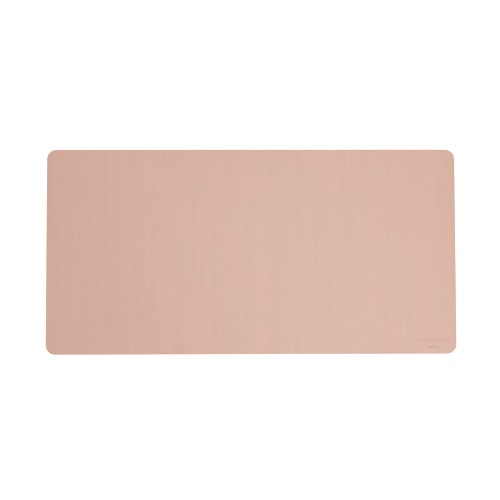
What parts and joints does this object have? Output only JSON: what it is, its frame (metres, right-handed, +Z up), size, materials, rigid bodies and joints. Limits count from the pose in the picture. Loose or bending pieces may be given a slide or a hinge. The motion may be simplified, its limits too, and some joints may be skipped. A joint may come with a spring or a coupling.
{
  "type": "desk mat",
  "caption": "Thin rectangular desk mat with rounded corners: a smooth artificial-leather work surface laminated to a non-slip suede underside.",
  "frame": {"origin": "centre of the underside, on the desk", "axes": "+X along the long side towards the right, +Y towards the back of the desk, +Z up out of the work surface"},
  "size_m": [0.8, 0.4, 0.002],
  "materials": {
    "skin_leather": "matte",
    "backing_cloth": "matte",
    "hot_melt_film": "satin",
    "core_rubber": "matte",
    "base_suede": "matte",
    "edge_paint": "satin"
  },
  "bodies": {
    "root": {"pu_skin": "skin_leather", "skin_backing_cloth": "backing_cloth", "upper_adhesive_film": "hot_melt_film", "core_sheet": "core_rubber", "lower_adhesive_film": "hot_melt_film", "suede_base": "base_suede", "edge_coating": "edge_paint"}
  },
  "joints": []
}
